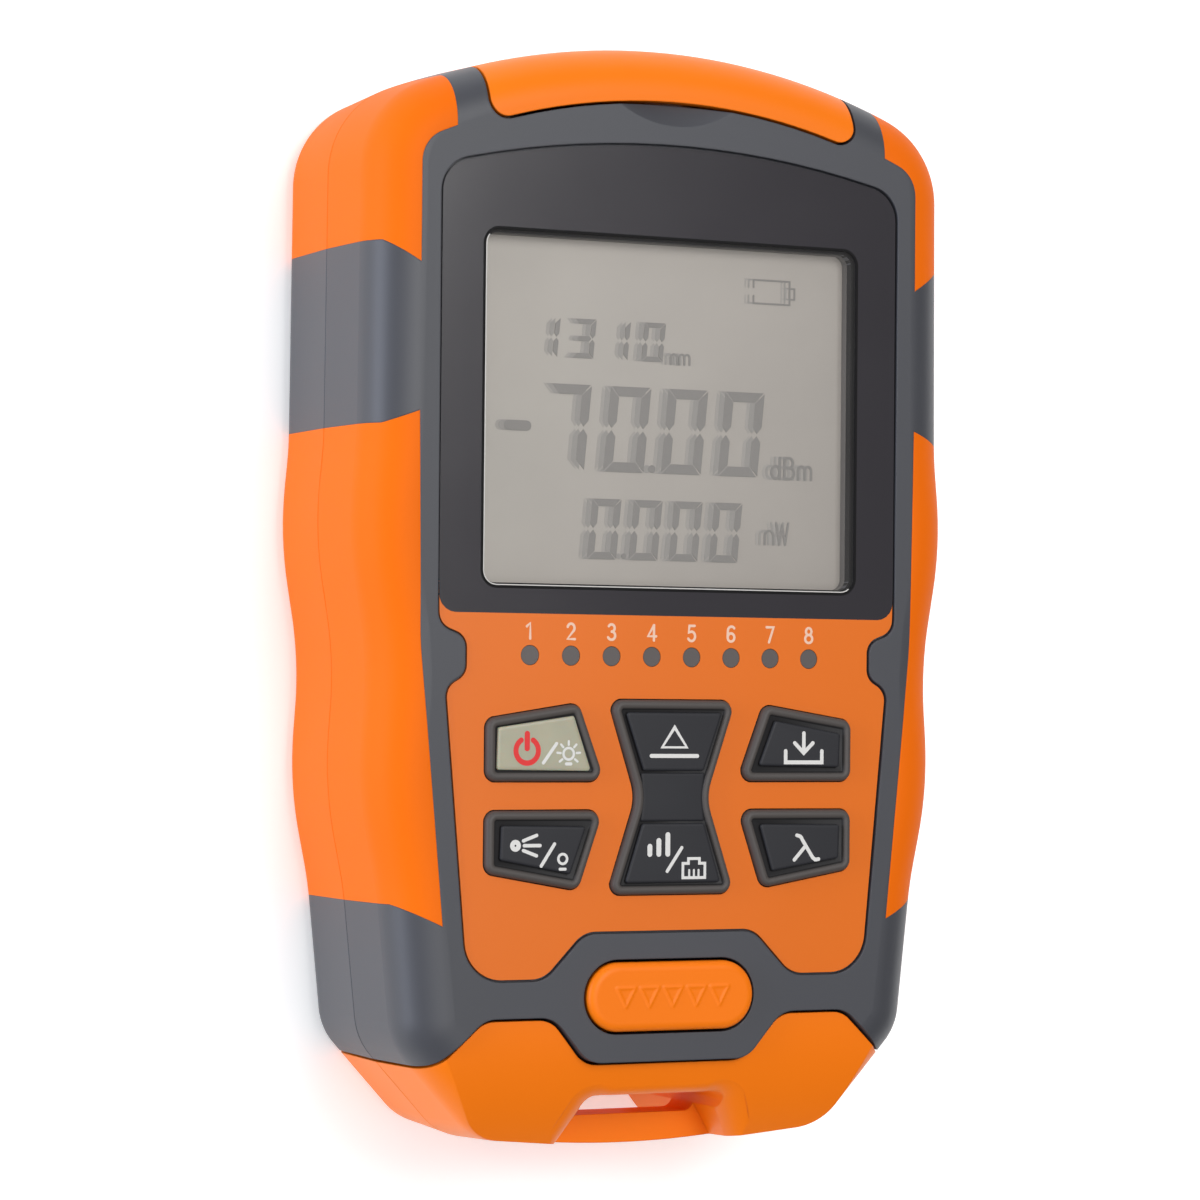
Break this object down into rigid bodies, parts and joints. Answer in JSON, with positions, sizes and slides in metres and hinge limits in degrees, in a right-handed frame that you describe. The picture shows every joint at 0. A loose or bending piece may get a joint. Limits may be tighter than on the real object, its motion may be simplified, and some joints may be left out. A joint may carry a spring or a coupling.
{
  "type": "optical power meter",
  "caption": "Handheld fibre-optic power meter with a screen, rubber keys, a flip-up cover over its ports and a detachable cable-test remote with a strap slot.",
  "frame": {"origin": "middle of the back face, on the plane the meter lies on", "axes": "+Z out of the screen, +Y towards the port cover, +X to the right of the screen"},
  "size_m": [0.07, 0.1166, 0.0276],
  "materials": {
    "grey_plastic": "fine moulded texture",
    "orange_rubber": "soft satin overmould",
    "orange_plastic": "satin moulding",
    "dark_lens": "gloss printed lens",
    "clear_lens": "clear gloss",
    "orange_film": "satin printed film",
    "display_glass": "polished",
    "light_guide": "milky",
    "smoked_guide": "smoked translucent",
    "led_resin": "moulded resin",
    "key_rubber": "satin moulded",
    "key_insert": "translucent",
    "silicone": "matte",
    "circuit_board": "solder mask",
    "switch_plastic": "moulded",
    "spring_steel": "rolled strip",
    "nickel": "nickel plated",
    "jack_plastic": "moulded",
    "lamp_resin": "clear cast resin",
    "cell_jacket": "plain printed sleeve",
    "screw_steel": "zinc plated"
  },
  "bodies": {
    "housing": {"front_shell": "grey_plastic", "rear_shell": "grey_plastic", "screen_surround": "dark_lens", "lcd_window": "clear_lens", "key_panel": "orange_film", "lcd_glass": "display_glass", "lcd_backlight": "light_guide", "indicator_comb": "smoked_guide", "keypad_web": "silicone", "main_board": "circuit_board", "hinge_pin": "spring_steel", "power_port": "nickel", "laser_port": "nickel", "network_jack": "jack_plastic", "torch_lamp": "lamp_resin", "battery_cell_1": "cell_jacket", "battery_cell_2": "cell_jacket", "battery_cell_3": "cell_jacket", "upper_contacts": "nickel", "lower_contacts": "nickel", "housing_screws": "screw_steel", "wire_lamp_1": "led_resin", "wire_lamp_2": "led_resin", "wire_lamp_3": "led_resin", "wire_lamp_4": "led_resin", "wire_lamp_5": "led_resin", "wire_lamp_6": "led_resin", "wire_lamp_7": "led_resin", "wire_lamp_8": "led_resin", "grip_front_upper_right": "orange_rubber", "grip_front_upper_left": "orange_rubber", "grip_front_lower_right": "orange_rubber", "grip_front_lower_left": "orange_rubber", "grip_rear_upper_right": "orange_rubber", "grip_rear_upper_left": "orange_rubber", "grip_rear_lower_right": "orange_rubber", "grip_rear_lower_left": "orange_rubber", "power_switch": "switch_plastic", "save_switch": "switch_plastic", "laser_switch": "switch_plastic", "wavelength_switch": "switch_plastic", "reference_switch": "switch_plastic", "level_switch": "switch_plastic", "release_spring": "spring_steel"},
    "port_cover": {"top_cover": "orange_plastic"},
    "power_button": {"power_key": "key_rubber", "power_key_insert": "key_insert"},
    "save_button": {"save_key": "key_rubber"},
    "laser_button": {"laser_key": "key_rubber"},
    "wavelength_button": {"wavelength_key": "key_rubber"},
    "rocker": {"rocker_key": "key_rubber"},
    "release": {"release_button": "orange_plastic"},
    "remote": {"remote_front_shell": "orange_plastic", "remote_rear_shell": "orange_plastic", "remote_jack": "jack_plastic", "remote_board": "circuit_board", "remote_screws": "screw_steel"},
    "door": {"battery_door": "grey_plastic"}
  },
  "joints": [
    {"name": "cover_hinge", "type": "hinge", "parent": "housing", "child": "port_cover", "pos_m": [0, 0.0513, 0.0032], "axis": [-1, 0, 0], "range_deg": [0, 90]},
    {"name": "power_press", "type": "slide", "parent": "housing", "child": "power_button", "axis": [0, 0, -1], "range_m": [0, 0.0004], "stiffness_N_per_m": 900},
    {"name": "save_press", "type": "slide", "parent": "housing", "child": "save_button", "axis": [0, 0, -1], "range_m": [0, 0.0004], "stiffness_N_per_m": 900},
    {"name": "laser_press", "type": "slide", "parent": "housing", "child": "laser_button", "axis": [0, 0, -1], "range_m": [0, 0.0004], "stiffness_N_per_m": 900},
    {"name": "wavelength_press", "type": "slide", "parent": "housing", "child": "wavelength_button", "axis": [0, 0, -1], "range_m": [0, 0.0004], "stiffness_N_per_m": 900},
    {"name": "rocker_tilt", "type": "hinge", "parent": "housing", "child": "rocker", "pos_m": [0, -0.0211, 0.0236], "axis": [1, 0, 0], "range_deg": [-2, 2], "stiffness_Nm_per_rad": 0.08},
    {"name": "release_press", "type": "slide", "parent": "housing", "child": "release", "axis": [0, 0, -1], "range_m": [0, 0.0008], "stiffness_N_per_m": 900, "deforming": ["release_spring"]},
    {"name": "remote_slide", "type": "slide", "parent": "housing", "child": "remote", "axis": [0, -1, 0], "range_m": [0, 0.032]},
    {"name": "door_hinge", "type": "hinge", "parent": "housing", "child": "door", "pos_m": [0, 0.025, 0.00095], "axis": [1, 0, 0], "range_deg": [0, 30]}
  ]
}
